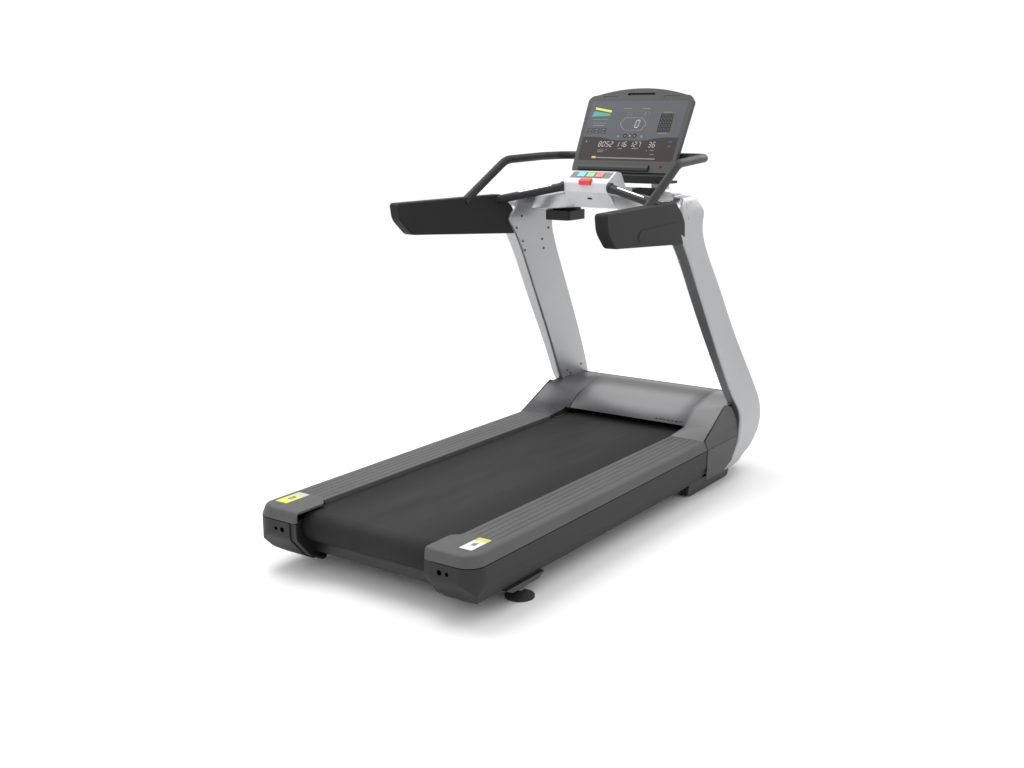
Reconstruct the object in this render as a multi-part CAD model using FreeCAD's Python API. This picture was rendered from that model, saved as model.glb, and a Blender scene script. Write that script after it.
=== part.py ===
import FreeCAD, Part
import math
import os

V = FreeCAD.Vector

# Commercial treadmill, millimetres. +X is the runner's right, +Y is forward, +Z is up.
# Lengths along Y are drawn from the station where the rail covers meet the hood (y = 0);
# save() then moves every piece so that the origin lies on the floor under the machine's middle.

# ---- running surface ----
deck_length = 1535.0      # station back to the rear faces of the caps
front_reach = 515.0       # station forward to the front of the uprights
belt_width = 560.0
belt_thickness = 2.5
belt_edge_gap = 5.5       # belt edge to rail cover
belt_slack = 0.3          # belt to roller, and belt to deck
roller_radius = 47.2
roller_wall = 4.0
roller_z = 156.0          # roller axis height
rear_roller_inset = 97.0  # rear face of the caps to the rear roller axis
front_roller_y = 250.0
axle_radius = 10.0
running_fit = 0.05        # radial play of a turning or sliding shaft
deck_thickness = 24.7

# ---- steel frame ----
beam_width = 50.0
beam_gap = 20.0           # belt edge to beam
beam_bottom_z = 75.0
beam_height = 75.0
tube_wall = 3.0
bay_plate = 6.0           # thickness of the front bay's side plates

# ---- covers ----
rail_top_z = 221.0
rail_top_width = 148.5
rail_slope = 13.0         # how far the rail's outer face leans out
seam_z = 186.0            # joint between the rail cover and the side cover
seam_gap = 1.2
shadow_gap = 3.0          # wider joint that reads as a dark line
rail_round = 14.0         # rounding along the top edges of rails and caps
belly_z = 26.0            # lowest point of the side cover under the roller
cover_wall = 4.0
cover_bottom_z = 64.2
cap_length = 165.0
cap_inner_step = 23.5     # the cap reaches this much further over the belt
cap_corner = 62.0
rib_count = 5
rib_width = 3.0
rib_depth = 1.4
hood_crest_z = 325.0
hood_wall = 4.0
hood_lip_y = 125.0
panel_pegs = ((60, 130), (190, 120))   # y, z of the pegs that carry a front panel

# ---- uprights, armrests, crossbar ----
upright_corner = 9.0
upright_wall = 5.0
upright_top_z = 1177.0
armrest_thickness = 46.0
armrest_toe = 4.7         # degrees that the armrests open towards the rear
rail_tube_radius = 16.0   # handlebar and pulse grips
pod_half = 96.0

# ---- console ----
console_half = 238.0
console_tilt = 28.0       # degrees that the screen leans back
console_foot_y = 67.0
console_foot_z = 1266.0
bezel_depth = 20.0
glass_thickness = 3.0

# ---- moving fittings ----
key_play = 0.4            # clearance round a key
key_travel = 1.5
stop_travel = 5.0
foot_radius = 47.0
stud_radius = 6.0
foot_y = -1240.0
lift_pivot_y = 282.0
lift_pivot_z = 30.0
lift_wheel_y = -40.0
lift_wheel_radius = 25.0
crank_length = 50.0

# ---- drive and power entry ----
pulley_radius = 60.0
motor_pulley_radius = 28.0
motor_y = 395.0
motor_z = 165.0
inlet_x = 150.0
inlet_z = 125.0
switch_x = 200.0
rocker_y = 487.0          # axis that the switch rocks about

# ---- crossbar, control pod and keys ----
pod_keys = (("key_fan", -42.0), ("key_start", -2.0), ("key_pause", 38.0))   # name, x of the key
key_half = 16.0
stop_half = 24.0
stop_back_y = -199.0
stop_low_z = 1207.0
pad_rear = (-188.0, 1228.0)   # y, z of the key panel's rear edge
pad_front = (-140.0, 1256.0)
cup_y = -52.0

# ---- worked out from the above ----
belt_half = belt_width / 2
rail_in = belt_half + belt_edge_gap
rail_out = rail_in + rail_top_width
side_out = rail_out + rail_slope
spread = side_out - 447.0     # the uprights' sections are given for this half width
socket_top_z = 205.0
foot_x = side_out - 40.0
hood_half = belt_half - 10.0  # seams between the hood and its shoulders
lift_side_x = side_out - 57.0
bar_outer_x = 311.0 + spread
cup_x = 178.0 + spread / 2
riser_base = V(391 + spread, -455, 1140)
rear_y = -deck_length
rear_roller_y = rear_y + rear_roller_inset
belt_inner = roller_radius + belt_slack
belt_outer = belt_inner + belt_thickness
belt_top_z = roller_z + belt_outer
deck_top_z = belt_top_z - belt_thickness - belt_slack
deck_bottom_z = deck_top_z - deck_thickness
beam_in = belt_half + beam_gap
beam_out = beam_in + beam_width
beam_top_z = beam_bottom_z + beam_height
bay_out = beam_out + bay_plate
origin_shift = (deck_length - front_reach) / 2
roller_half = belt_half + 1.0
end_plate_x = belt_half + 4.5
cap_in = rail_in - cap_inner_step


# ---------------------------------------------------------------- drawing helpers
def save(name, shape):
    """Move a piece from the station frame to the part's own frame and write it."""
    placed = shape.copy()
    placed.translate(V(0, origin_shift, 0))
    if placed.ShapeType == "Compound" and len(placed.Solids) == 1:
        placed = placed.Solids[0]
    placed.exportStep("parts/" + name + ".step")
    print(name, len(placed.Solids), placed.isValid(), round(placed.Volume))


def mirrored(shape):
    return shape.mirror(V(0, 0, 0), V(1, 0, 0))


def box(x0, x1, y0, y1, z0, z1):
    return Part.makeBox(x1 - x0, y1 - y0, z1 - z0, V(x0, y0, z0))


def rod(start, end, radius):
    axis = end - start
    return Part.makeCylinder(radius, axis.Length, start, axis)


def rod_x(x0, x1, y, z, radius):
    return rod(V(x0, y, z), V(x1, y, z), radius)


def rounded_wire(corners, to_space):
    """Closed outline from (a, b) or (a, b, radius) corners, with tangent arcs."""
    flat = [V(c[0], c[1], 0) for c in corners]
    radii = [c[2] if len(c) > 2 else 0 for c in corners]
    count = len(flat)
    legs = []
    for i in range(count):
        here = flat[i]
        back = (flat[i - 1] - here).normalize()
        ahead = (flat[(i + 1) % count] - here).normalize()
        if not radii[i]:
            legs.append((here, here, here))
            continue
        half = back.getAngle(ahead) / 2
        run = radii[i] / math.tan(half)
        middle = (back + ahead).normalize()
        centre = here + middle * (radii[i] / math.sin(half))
        legs.append((here + back * run, centre - middle * radii[i], here + ahead * run))
    edges = []
    for i in range(count):
        enter, mid, leave = legs[i]
        if radii[i]:
            arc = Part.Arc(to_space(enter), to_space(mid), to_space(leave))
            edges.append(arc.toShape())
        next_enter = legs[(i + 1) % count][0]
        if (next_enter - leave).Length > 1e-6:
            edges.append(Part.makeLine(to_space(leave), to_space(next_enter)))
    return Part.Wire(edges)


def prism_x(corners, x0, x1):
    """Outline of (y, z) corners pushed along X."""
    wire = rounded_wire(corners, lambda p: V(x0, p.x, p.y))
    return Part.Face(wire).extrude(V(x1 - x0, 0, 0))


def prism_y(corners, y0, y1):
    """Outline of (x, z) corners pushed along Y."""
    wire = rounded_wire(corners, lambda p: V(p.x, y0, p.y))
    return Part.Face(wire).extrude(V(0, y1 - y0, 0))


def prism_z(corners, z0, z1):
    """Outline of (x, y) corners pushed along Z."""
    wire = rounded_wire(corners, lambda p: V(p.x, p.y, z0))
    return Part.Face(wire).extrude(V(0, 0, z1 - z0))


def inset(corners, distance):
    """Move every side of a closed outline inwards; corner radii shrink with it."""
    count = len(corners)
    turn = sum(corners[i - 1][0] * corners[i][1] - corners[i][0] * corners[i - 1][1]
               for i in range(count))
    side = 1.0 if turn > 0 else -1.0
    moved = []
    for i in range(count):
        here = V(corners[i][0], corners[i][1], 0)
        before = V(corners[i - 1][0], corners[i - 1][1], 0)
        after = V(corners[(i + 1) % count][0], corners[(i + 1) % count][1], 0)
        first = (here - before).normalize()
        second = (after - here).normalize()
        normal_a = V(-first.y, first.x, 0) * side
        normal_b = V(-second.y, second.x, 0) * side
        middle = (normal_a + normal_b).normalize()
        reach = distance / middle.dot(normal_a)
        point = here + middle * reach
        radius = corners[i][2] if len(corners[i]) > 2 else 0
        moved.append((point.x, point.y, max(radius - distance, 0)))
    return moved


def pipe(points, bends, radius):
    """Round bar along straight runs joined by tangent arcs."""
    edges = []
    last = points[0]
    for i in range(1, len(points) - 1):
        here = points[i]
        back = (points[i - 1] - here).normalize()
        ahead = (points[i + 1] - here).normalize()
        half = back.getAngle(ahead) / 2
        run = bends[i - 1] / math.tan(half)
        middle = (back + ahead).normalize()
        bend = here + middle * (bends[i - 1] / math.sin(half) - bends[i - 1])
        edges.append(Part.makeLine(last, here + back * run))
        edges.append(Part.Arc(here + back * run, bend, here + ahead * run).toShape())
        last = here + ahead * run
    edges.append(Part.makeLine(last, points[-1]))
    spine = Part.Wire(edges)
    ring = Part.Wire(Part.makeCircle(radius, points[0], points[1] - points[0]))
    return spine.makePipeShell([ring], True, True)


def loop_face(rear, rear_radius, front, front_radius, x):
    """Face inside a belt line drawn tight round two circles in a plane of constant X."""
    span = (front - rear).Length
    tilt = math.atan2(front.z - rear.z, front.y - rear.y)
    lean = math.acos((rear_radius - front_radius) / span)

    def rim(centre, radius, angle):
        return V(x, centre.y + radius * math.cos(angle), centre.z + radius * math.sin(angle))

    top_rear = rim(rear, rear_radius, tilt + lean)
    top_front = rim(front, front_radius, tilt + lean)
    low_rear = rim(rear, rear_radius, tilt - lean)
    low_front = rim(front, front_radius, tilt - lean)
    nose = rim(front, front_radius, tilt)
    tail = rim(rear, rear_radius, tilt + math.pi)
    edges = [Part.makeLine(top_rear, top_front),
             Part.Arc(top_front, nose, low_front).toShape(),
             Part.makeLine(low_front, low_rear),
             Part.Arc(low_rear, tail, top_rear).toShape()]
    return Part.Face(Part.Wire(edges))


def belt_loop(rear, rear_radius, front, front_radius, thickness, x0, x1):
    outer = loop_face(rear, rear_radius + thickness, front, front_radius + thickness, x0)
    inner = loop_face(rear, rear_radius, front, front_radius, x0)
    return outer.cut(inner).extrude(V(x1 - x0, 0, 0))


def both_sides(name, shape):
    """Write a right-hand piece and its left-hand twin."""
    save(name + "_right", shape)
    save(name + "_left", mirrored(shape))


def pair(shape):
    """A right-hand solid and its mirror image in one group."""
    return Part.makeCompound([shape, mirrored(shape)])


# ---------------------------------------------------------------- steel frame
def make_main_frame():
    """Welded frame: two side beams, cross tubes, front bay and the lift pivot lugs."""
    rear_end = rear_y + 80
    beam = box(beam_in, beam_out, rear_end, 130, beam_bottom_z, beam_top_z)
    hollow = box(beam_in + tube_wall, beam_out - tube_wall, rear_end, 130,
                 beam_bottom_z + tube_wall, beam_top_z - tube_wall)
    side = beam.cut(hollow)
    rear_plate = box(beam_in, beam_in + 8, rear_end, rear_end + 55, beam_bottom_z, 181)
    side = side.fuse(rear_plate)
    bay = box(beam_out, bay_out, 60, 482, beam_bottom_z, 181)
    lug = prism_x([(lift_pivot_y - 26, beam_bottom_z + 5), (lift_pivot_y - 16, lift_pivot_z - 16, 14),
                   (lift_pivot_y + 16, lift_pivot_z - 16, 14), (lift_pivot_y + 26, beam_bottom_z + 5)],
                  beam_out, bay_out)
    socket = box(bay_out, side_out - 43, 318, 470, 105, socket_top_z)
    socket_hollow = box(bay_out, side_out - 49, 326, 462, 113, socket_top_z - 8)
    motor_plate = box(40, beam_out, 320, 476, 80, 86)
    side = side.fuse([bay, lug, socket.cut(socket_hollow), motor_plate])
    frame = side.fuse(mirrored(side))
    inner_run_z = roller_z - belt_outer
    for station in (-1100, -600, -100):
        tube = box(-beam_in, beam_in, station - 20, station + 20, inner_run_z + 6, beam_top_z)
        bore = box(-beam_in, beam_in, station - 17, station + 17, inner_run_z + 9, beam_top_z - 3)
        frame = frame.fuse(tube.cut(bore))
    frame = frame.fuse(box(-beam_out, beam_out, 476, 482, 80, 150))
    for y in (rear_roller_y, front_roller_y):
        frame = frame.cut(rod_x(-beam_out - 30, beam_out + 30, y, roller_z, axle_radius))
    shaft = rod_x(-bay_out, bay_out, lift_pivot_y, lift_pivot_z, 12 + running_fit)
    frame = frame.cut(shaft).removeSplitter()
    save("main_frame", frame)


def make_rear_cross_member():
    """Painted cross bar seen below the rear roller, between the end plates."""
    reach = end_plate_x - 0.1
    bar = prism_x([(rear_y + 110, 57, 5), (rear_y + 150, 57, 5), (rear_y + 150, 95, 5),
                   (rear_y + 110, 95, 5)], -reach, reach)
    save("rear_cross_member", bar)


def make_deck():
    """Running board on rubber cushions over the side beams."""
    board = box(-beam_out + 5, beam_out - 5, rear_roller_y + 78, 150, deck_bottom_z, deck_top_z)
    save("deck_board", board)
    cushions = []
    middle = (beam_in + beam_out) / 2
    for i in range(4):
        y = rear_roller_y + 180 + i * (deck_length - 460) / 3
        pad = Part.makeCone(18, 14, deck_bottom_z - beam_top_z, V(middle, y, beam_top_z))
        cushions.extend([pad, mirrored(pad)])
    save("deck_cushions", Part.makeCompound(cushions))


def make_running_belt():
    rear = V(0, rear_roller_y, roller_z)
    front = V(0, front_roller_y, roller_z)
    belt = belt_loop(rear, belt_inner, front, belt_inner, belt_thickness, -belt_half, belt_half)
    save("running_belt", belt)


# ---------------------------------------------------------------- rollers and drive
pulley_x0 = -roller_half - 27
pulley_x1 = -roller_half - 3


def roller_body(y):
    """Steel tube with solid ends, bored for its dead axle."""
    tube = rod_x(-roller_half, roller_half, y, roller_z, roller_radius)
    hollow = rod_x(-roller_half + 22, roller_half - 22, y, roller_z, roller_radius - roller_wall)
    return tube.cut(hollow)


def make_rollers():
    bore_reach = roller_half + 60
    rear = roller_body(rear_roller_y)
    rear = rear.cut(rod_x(-bore_reach, bore_reach, rear_roller_y, roller_z, axle_radius + running_fit))
    save("rear_roller", rear)
    front = roller_body(front_roller_y)
    pulley = rod_x(pulley_x0, pulley_x1, front_roller_y, roller_z, pulley_radius)
    hub = rod_x(pulley_x1, -roller_half, front_roller_y, roller_z, 24)
    front = front.fuse([pulley, hub])
    bore = rod_x(-bore_reach, bore_reach, front_roller_y, roller_z, axle_radius + running_fit)
    save("drive_roller", front.cut(bore).removeSplitter())


def make_axles():
    rear = rod_x(-beam_out + 15, beam_out - 15, rear_roller_y, roller_z, axle_radius)
    front = rod_x(-bay_out, bay_out, front_roller_y, roller_z, axle_radius)
    save("roller_axles", Part.makeCompound([rear, front]))


def make_tension_bolts():
    """Belt tension bolts reached through the round holes in the rear caps."""
    x = end_plate_x + 37.5
    head = rod(V(x, rear_y + 30, roller_z), V(x, rear_y + 38, roller_z), 8)
    socket = rod(V(x, rear_y + 30, roller_z), V(x, rear_y + 35, roller_z), 4)
    tip = rear_roller_y - axle_radius - 0.3
    shank = rod(V(x, rear_y + 38, roller_z), V(x, tip, roller_z), 5)
    save("tension_bolts", pair(head.cut(socket).fuse(shank).removeSplitter()))


def make_drive():
    """Motor under the hood, its rotor with flywheel and pulley, and the ribbed drive belt."""
    body = rod_x(-272, -60, motor_y, motor_z, 72)
    neck = rod_x(-60, -44, motor_y, motor_z, 50)
    foot_a = box(-250, -222, motor_y - 50, motor_y + 50, 86, 120)
    foot_b = box(-110, -82, motor_y - 50, motor_y + 50, 86, 120)
    body = body.fuse([neck, foot_a, foot_b])
    bore = rod_x(-273, -120, motor_y, motor_z, axle_radius + running_fit)
    save("drive_motor", body.cut(bore).removeSplitter())
    shaft = rod_x(pulley_x0 - 30, -120.1, motor_y, motor_z, axle_radius)
    pulley = rod_x(pulley_x0, pulley_x1, motor_y, motor_z, motor_pulley_radius)
    flywheel = rod_x(pulley_x0 - 26, pulley_x0 - 4, motor_y, motor_z, 68)
    rotor = shaft.fuse([pulley, flywheel]).removeSplitter()
    save("motor_rotor", rotor)
    belt = belt_loop(V(0, front_roller_y, roller_z), pulley_radius + belt_slack,
                     V(0, motor_y, motor_z), motor_pulley_radius + belt_slack, 3.5,
                     pulley_x0 + 2, pulley_x1 - 2)
    save("drive_belt", belt)


def make_controller():
    """Motor controller in its finned case."""
    case = box(60, 300, 335, 465, 86, 128)
    for i in range(9):
        x = 78 + i * 25
        case = case.cut(box(x, x + 12, 330, 470, 116, 129))
    save("motor_controller", case)


# ---------------------------------------------------------------- incline lift
def make_lift():
    """Lift frame on the floor, its wheels, the screw and the actuator body."""
    plate = prism_x([(lift_wheel_y - 24, 3, 23), (lift_pivot_y + 24, 3, 23),
                     (lift_pivot_y + 24, 54, 24), (lift_wheel_y - 24, 50, 23)],
                    lift_side_x, lift_side_x + 12)
    stub = rod_x(lift_side_x - 28, lift_side_x, lift_wheel_y, lift_wheel_radius, 6)
    head = rod_x(lift_side_x - 32, lift_side_x - 28, lift_wheel_y, lift_wheel_radius, 9)
    side = plate.fuse([stub, head])
    torque = rod_x(-lift_side_x, lift_side_x, lift_pivot_y, lift_pivot_z, 12)
    tie = rod_x(-lift_side_x, lift_side_x, lift_wheel_y + 55, 28, 10)
    crank = prism_x([(lift_pivot_y - 14, lift_pivot_z - 4, 6), (lift_pivot_y + 14, lift_pivot_z - 4, 6),
                     (lift_pivot_y + 14, lift_pivot_z + crank_length + 19, 10),
                     (lift_pivot_y - 14, lift_pivot_z + crank_length + 19, 10)], -5, 5)
    slot = prism_x([(lift_pivot_y - 8, lift_pivot_z + crank_length - 10, 7.9),
                    (lift_pivot_y + 8, lift_pivot_z + crank_length - 10, 7.9),
                    (lift_pivot_y + 8, lift_pivot_z + crank_length + 15, 7.9),
                    (lift_pivot_y - 8, lift_pivot_z + crank_length + 15, 7.9)], -6, 6)
    frame = side.fuse([mirrored(side), torque, tie, crank]).cut(slot).removeSplitter()
    save("lift_frame", frame)
    wheel = rod_x(364, 384, lift_wheel_y, lift_wheel_radius, lift_wheel_radius)
    rim_edges = [e for e in wheel.Edges if abs(e.Length - 2 * math.pi * lift_wheel_radius) < 0.1
                 and e.Closed]
    wheel = wheel.makeFillet(4, rim_edges)
    wheel = wheel.cut(rod_x(lift_side_x - 30, lift_side_x, lift_wheel_y, lift_wheel_radius, 6 + running_fit))
    both_sides("lift_wheel", wheel)
    pin_z = lift_pivot_z + crank_length
    cheek = box(6, 11, lift_pivot_y - 12, lift_pivot_y + 28, pin_z - 9, pin_z + 9)
    web = box(-11, 11, lift_pivot_y + 22, lift_pivot_y + 30, pin_z - 9, pin_z + 9)
    pin = rod_x(-11, 11, lift_pivot_y, pin_z, 5)
    screw = rod(V(0, lift_pivot_y + 30, pin_z), V(0, lift_pivot_y + 140, pin_z), 7)
    save("lift_screw", cheek.fuse([mirrored(cheek), web, pin, screw]).removeSplitter())
    body = box(-30, 30, 345, 472, pin_z - 13, pin_z + 15)
    motor = box(-30, 30, 400, 472, pin_z - 13, pin_z + 60)
    bore = rod(V(0, 340, pin_z), V(0, 460, pin_z), 7 + running_fit)
    save("lift_actuator", body.fuse(motor).cut(bore).removeSplitter())


def make_feet():
    """Screw-down rear feet and the brackets that carry them."""
    arm = box(beam_out, foot_x + 30, foot_y - 60, foot_y + 60, 52, 63.5)
    web = box(beam_out - 30, beam_out + 40, foot_y - 40, foot_y + 40, 63.5, beam_bottom_z)
    shoe = prism_x([(foot_y - 118, 63.6), (foot_y - 82, 47, 14), (foot_y + 60, 47, 14),
                    (foot_y + 92, 63.6)], foot_x - 22, foot_x + 31)
    stud_bore = rod(V(foot_x, foot_y, 40), V(foot_x, foot_y, 70), stud_radius + running_fit)
    bracket = arm.fuse([web, shoe]).cut(stud_bore).removeSplitter()
    save("foot_brackets", pair(bracket))
    pad = Part.makeCylinder(foot_radius, 7, V(foot_x, foot_y, 0))
    dome = Part.makeCone(foot_radius, 16, 13, V(foot_x, foot_y, 7))
    nut = Part.makeCylinder(11, 8, V(foot_x, foot_y, 20))
    stud = Part.makeCylinder(stud_radius, 100, V(foot_x, foot_y, 20))
    foot = pad.fuse([dome, nut, stud]).removeSplitter()
    both_sides("rear_foot", foot)


# ---------------------------------------------------------------- rail and side covers
def rear_curve(distance, front):
    """Side view of the rear end: straight down from the top, sweeping under the roller to a belly."""
    outline = [(front, cover_bottom_z), (rear_y + 172, cover_bottom_z), (rear_y + 135, belly_z, 12),
               (rear_y + 118, belly_z, 14), (rear_y + 62, 56, 80), (rear_y, 128, 40),
               (rear_y, rail_top_z + 40), (front, rail_top_z + 40)]
    return inset(outline, distance)


def plan_outline(distance, inner, length):
    """Plan view of a rear corner, drawn from the rear face forwards."""
    return [(inner, rear_y + distance), (side_out - distance, rear_y + distance, cap_corner),
            (side_out - distance, length), (inner, length)]


def side_volume(distance):
    """Filled shape of the side cover, `distance` inside its outer skin, open at the front and top."""
    inner = cap_in - distance * 5
    section = [(inner, belly_z + 2), (side_out - 22, cover_bottom_z - 3, 24), (side_out, 120, 60),
               (side_out, seam_z + 30), (inner, seam_z + 30)]
    tube = prism_y(inset(section, distance), rear_y + distance, 0)
    top = box(0, side_out + 50, rear_y - 5, 5, 0, seam_z - shadow_gap + (1 if distance else 0))
    plan = prism_z(plan_outline(distance, inner, 0), 0, rail_top_z + 50)
    side = prism_x(rear_curve(distance, distance - seam_gap + (1 if distance else 0)), inner, side_out + 10)
    return tube.common(top).common(plan).common(side)


def make_side_covers():
    """Long lower covers that wrap round the rear corners and under the roller."""
    cover = side_volume(0).cut(side_volume(cover_wall))
    cover = cover.cut(box(0, foot_x - 12, rear_y + 160, 10, 0, rail_top_z))
    cover = cover.cut(box(0, end_plate_x + 4.5, rear_y - 5, rear_y + 200, 0, rail_top_z))
    x = end_plate_x + 37.5
    for offset, radius in ((0, 9), (28, 7)):
        hole = rod(V(x + offset, rear_y - 5, roller_z), V(x + offset, rear_y + 20, roller_z), radius)
        cover = cover.cut(hole)
    cover = cover.cut(rod(V(foot_x, foot_y, 50), V(foot_x, foot_y, 90), stud_radius + 3))
    both_sides("side_cover", sorted(cover.Solids, key=lambda s: s.Volume)[-1])


def rail_section(distance):
    """Cross-section of the rail top, `distance` inside its outer skin."""
    low = belt_top_z - 1.5 - distance * 4
    return [(rail_in + distance, low), (rail_in + distance, rail_top_z - distance, 3),
            (rail_out - distance * 0.7, rail_top_z - distance, rail_round - distance),
            (side_out - distance, seam_z - distance), (rail_out - 40, seam_z - distance),
            (rail_out - 40, low)]


def rail_filled(distance, y0, y1):
    return prism_y(rail_section(distance), y0, y1)


def make_rail_covers():
    """Ribbed rail covers, open underneath."""
    y0 = rear_y + cap_length
    top = rail_filled(0, y0, -seam_gap)
    under = rail_filled(cover_wall, y0 - 1, 1)
    rail = top.cut(under)
    pitch = (rail_top_width - 52) / (rib_count - 1)
    for i in range(rib_count):
        x = rail_in + 22 + i * pitch
        groove = prism_y([(x - rib_width, rail_top_z + 1), (x + rib_width, rail_top_z + 1),
                          (x + rib_width / 3, rail_top_z - rib_depth),
                          (x - rib_width / 3, rail_top_z - rib_depth)], y0 + 14, 10)
        rail = rail.cut(groove)
    both_sides("rail_cover", rail)


def cap_volume(distance):
    """Filled rear cap: one leaning, rounded profile along the side, round the corner and across the rear."""
    low = seam_z - distance
    top = rail_top_z - distance
    lean = rail_slope - distance * 0.3
    rounding = rail_round - distance
    radius = cap_corner - distance
    profile = [(0, low), (0, top), (radius - lean, top, rounding), (radius, low)]
    face = Part.Face(rounded_wire(profile, lambda p: V(p.x, 0, p.y)))
    corner = face.revolve(V(0, 0, 0), V(0, 0, 1), 360)
    corner.translate(V(side_out - cap_corner, rear_y + cap_corner, 0))
    reach = side_out - distance
    side = prism_y([(200, low), (200, top), (reach - lean, top, rounding), (reach, low)],
                   rear_y + cap_corner, rear_y + cap_length + distance)
    end = rear_y + distance
    back = prism_x([(rear_y + cap_corner, low), (end, low), (end + lean, top, rounding),
                    (rear_y + cap_corner, top)], 200, side_out - cap_corner)
    step_y = rear_y + cap_length - 32
    plan = [(cap_in + distance, end, 12), (side_out + 20, end), (side_out + 20, rear_y + cap_length + distance),
            (rail_in + distance, rear_y + cap_length + distance), (rail_in + distance, step_y + 22, 12),
            (cap_in + distance, step_y, 12)]
    return corner.fuse([side, back]).removeSplitter().common(prism_z(plan, low, top))


def make_rear_caps():
    """Plain rear ends of the rails, wider over the belt than the rails themselves."""
    cap = cap_volume(0).cut(cap_volume(cover_wall))
    room = box(0, end_plate_x + 8, rear_y + 12, rear_y + cap_length + 5, 100, rail_top_z - cover_wall - 3)
    both_sides("rear_cap", cap.cut(room))


def make_end_plates():
    """Black guards beside the rear roller, with a rim that closes the curved rear skin."""
    curve = rear_curve(cover_wall + 0.5, rear_y + 400)
    hollow = rear_curve(cover_wall + 8, rear_y + 400)
    span = box(cap_in + 0.5, end_plate_x + 4, rear_y, rear_y + 150, 0, seam_z - 3)
    solid = prism_x(curve, cap_in + 0.5, end_plate_x + 4).common(span)
    core = prism_x(hollow, cap_in - 1, end_plate_x)
    plate = solid.cut(core)
    plate = plate.cut(rod_x(0, end_plate_x + 10, rear_roller_y, roller_z, axle_radius + 0.3))
    save("end_plates", pair(plate))


# ---------------------------------------------------------------- hood and front covers
def hood_profile(distance, start_z):
    """Side view of the hood from its rear lip over the crest to the front."""
    return [(hood_lip_y + distance, start_z - 8), (hood_lip_y + distance, start_z, 2),
            (hood_lip_y + 75, hood_crest_z - 42 - distance, 260),
            (385, hood_crest_z - distance + 3, 260),
            (472 - distance, hood_crest_z - 8 - distance, 14), (472 - distance, start_z - 8)]


def shoulder_profile(distance, outer):
    """Side view of a shoulder: its inner edge follows the hood, its outer edge the side panel."""
    foot = [(distance, 150), (distance, rail_top_z - distance * 0.6, 4)]
    inner_edge = [(hood_lip_y - 4, rail_top_z + 7 - distance, 60), (hood_lip_y + 75, hood_crest_z - 42 - distance, 130),
                  (385, hood_crest_z - distance + 3, 260)]
    outer_edge = [(70, 257 - distance, 200), (192, hood_crest_z - 6 - distance, 90),
                  (330, hood_crest_z - distance + 1, 120)]
    front = [(472 - distance, hood_crest_z - 8 - distance, 14), (472 - distance, 150)]
    return foot + (outer_edge if outer else inner_edge) + front


def shoulder_volume(distance):
    """Filled shoulder, ruled across from the hood's edge to the side panel's."""
    wires = [rounded_wire(shoulder_profile(distance, outer), lambda p, x=x: V(x, p.x, p.y))
             for outer, x in ((False, hood_half + seam_gap - (1 if distance else 0)),
                              (True, side_out - 11 - distance))]
    return Part.makeLoft(wires, True, True)


def make_hood():
    """Centre shell over the motor and the two shoulders beside it."""
    outer = prism_x(hood_profile(0, 226), -hood_half, hood_half)
    inner = prism_x(hood_profile(hood_wall, 210), -hood_half - 1, hood_half + 1)
    under = box(-hood_half - 1, hood_half + 1, hood_lip_y + hood_wall, 480, 150, 232)
    pieces = sorted(outer.cut(inner).cut(under).Solids, key=lambda s: s.Volume)
    save("hood_centre", pieces[-1])
    cheek = box(rail_in, rail_in + hood_wall, -5, hood_lip_y + 5, 0, 400)
    shoulder = shoulder_volume(0).cut(shoulder_volume(hood_wall).cut(cheek))
    shoulder = shoulder.cut(box(0, rail_in, -5, hood_lip_y + 1 - seam_gap, 0, 400))
    shoulder = shoulder.cut(upright_volume(-1.0))
    shoulder = shoulder.cut(box(0, 600, -5, 480, 0, max(belt_top_z + 3, socket_top_z + 2)))
    shoulder = shoulder.common(band_volume(cover_wall + shadow_gap))
    pieces = sorted(shoulder.Solids, key=lambda s: s.Volume)
    both_sides("hood_shoulder", pieces[-1])


def make_front_cover():
    """Cover across the front of the motor bay, with the cut-outs for inlet and switch."""
    cover = box(47 - side_out, side_out - 47, 484, 489, 90, hood_crest_z - 14)
    lip = box(47 - side_out, side_out - 47, 474, 484, hood_crest_z - 14, hood_crest_z - 10)
    cover = cover.fuse(lip).fuse(box(47 - side_out, side_out - 47, 484, 489, hood_crest_z - 14, hood_crest_z - 10))
    cover = cover.cut(upright_volume(-1.0)).cut(mirrored(upright_volume(-1.0)))
    cover = cover.cut(box(inlet_x - 14, inlet_x + 14, 480, 495, inlet_z - 10.5, inlet_z + 10.5))
    cover = cover.cut(box(switch_x - 11, switch_x + 11, 480, 495, inlet_z - 14, inlet_z + 14))
    pieces = sorted(cover.removeSplitter().Solids, key=lambda s: s.Volume)
    save("front_cover", pieces[-1])




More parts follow.
